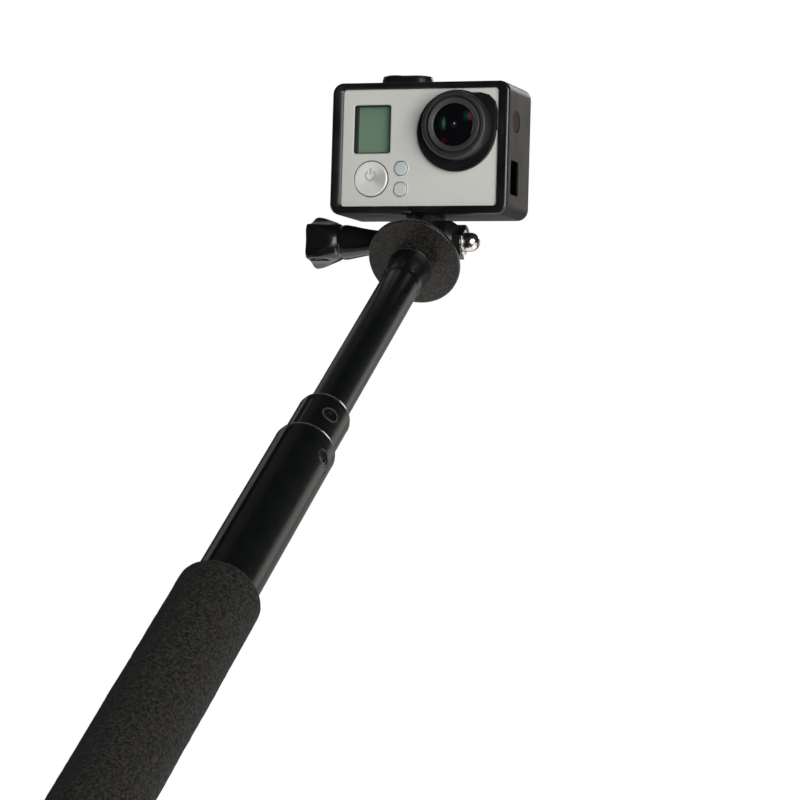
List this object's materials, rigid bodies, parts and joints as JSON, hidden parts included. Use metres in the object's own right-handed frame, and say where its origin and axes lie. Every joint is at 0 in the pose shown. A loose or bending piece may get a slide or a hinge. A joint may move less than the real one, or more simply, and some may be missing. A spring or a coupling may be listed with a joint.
{
  "type": "selfie stick",
  "caption": "Telescopic handheld pole with a foam grip, round mounting disc and tilting thumb-screw hinge that carries a small camera in a clip frame.",
  "frame": {"origin": "on the pole's axis, at the middle of the foam grip", "axes": "+Z along the pole towards the head, +X along the tilt screw from knob to dome nut, -Y the side the lens faces"},
  "size_m": [0.0744, 0.0671, 0.3981],
  "materials": {
    "tube_anodised": "gloss black anodised",
    "foam": "closed-cell foam, matte",
    "pole_plastic": "moulded, satin",
    "slide_plastic": "acetal, natural white",
    "disc_metal": "fine textured black, semi-gloss",
    "pad_rubber": "matte",
    "steel": "zinc plated",
    "brass": "turned",
    "chrome_nut": "polished",
    "knob_plastic": "moulded, glossy black",
    "hinge_plastic": "moulded, satin black",
    "frame_plastic": "moulded, fine matte texture",
    "bezel_plastic": "moulded, glossy black",
    "case_plastic": "moulded",
    "plate_silver": "fine horizontal brushing",
    "button_silver": "spun, satin",
    "lens_black": "moulded, satin black",
    "ring_grey": "dark grey anodised",
    "lens_glass": "coated",
    "display_glass": "clear",
    "display_green": "reflective liquid crystal",
    "lamp_lens": "translucent white",
    "sensor_brown": "dark translucent",
    "board_green": "solder resist",
    "battery_grey": "sleeved",
    "switch_black": "moulded",
    "jack_metal": "stamped"
  },
  "bodies": {
    "handle": {"outer_tube": "tube_anodised", "outer_mouth_bush": "pole_plastic", "foam_grip": "foam", "end_cap": "pole_plastic"},
    "middle_section": {"middle_tube": "tube_anodised", "middle_mouth_bush": "pole_plastic", "middle_slide_shoe": "slide_plastic"},
    "inner_section": {"inner_tube": "tube_anodised", "inner_slide_shoe": "slide_plastic", "head_cap": "pole_plastic", "cap_rivet": "steel", "mount_stud": "steel", "mount_disc": "disc_metal", "disc_pad": "pad_rubber"},
    "hinge_base": {"hinge_adapter": "hinge_plastic", "adapter_insert": "brass", "dome_nut": "chrome_nut"},
    "thumb_screw": {"thumb_knob": "knob_plastic", "knob_cap": "knob_plastic", "hinge_bolt": "steel"},
    "camera_head": {"camera_frame": "frame_plastic", "front_bezel": "bezel_plastic", "side_sensor_cover": "sensor_brown", "camera_case": "case_plastic", "front_plate": "plate_silver", "display_hood": "lens_black", "display_window": "display_glass", "display_panel": "display_green", "power_switch": "switch_black", "shutter_switch": "switch_black", "indicator_lamps": "lamp_lens", "lens_surround": "lens_black", "lens_barrel": "lens_black", "lens_ring": "ring_grey", "front_lens": "lens_glass", "lens_cell": "lens_black", "main_board": "board_green", "image_sensor": "switch_black", "battery": "battery_grey", "charging_jack": "jack_metal"},
    "power_key": {"power_button": "button_silver"},
    "shutter_key": {"shutter_button": "knob_plastic"}
  },
  "joints": [
    {"name": "middle_slide", "type": "slide", "parent": "handle", "child": "middle_section", "axis": [0, 0, 1], "range_m": [-0.018, 0.13]},
    {"name": "inner_slide", "type": "slide", "parent": "middle_section", "child": "inner_section", "axis": [0, 0, 1], "range_m": [-0.082, 0.07]},
    {"name": "adapter_turn", "type": "hinge", "parent": "inner_section", "child": "hinge_base", "pos_m": [0, 0, 0.2634], "axis": [0, 0, 1], "range_deg": [-180, 180]},
    {"name": "head_tilt", "type": "hinge", "parent": "hinge_base", "child": "camera_head", "pos_m": [0, 0, 0.275], "axis": [1, 0, 0], "range_deg": [-125, 28]},
    {"name": "thumb_screw_turn", "type": "hinge", "parent": "hinge_base", "child": "thumb_screw", "pos_m": [0, 0, 0.275], "axis": [1, 0, 0], "continuous": true},
    {"name": "power_press", "type": "slide", "parent": "camera_head", "child": "power_key", "axis": [0, 0.5664, 0.8241], "range_m": [0, 0.0004], "stiffness_N_per_m": 3000, "springref_m": -0.0002},
    {"name": "shutter_press", "type": "slide", "parent": "camera_head", "child": "shutter_key", "axis": [0, 0.8241, -0.5664], "range_m": [0, 0.0004], "stiffness_N_per_m": 3000, "springref_m": -0.0002}
  ]
}
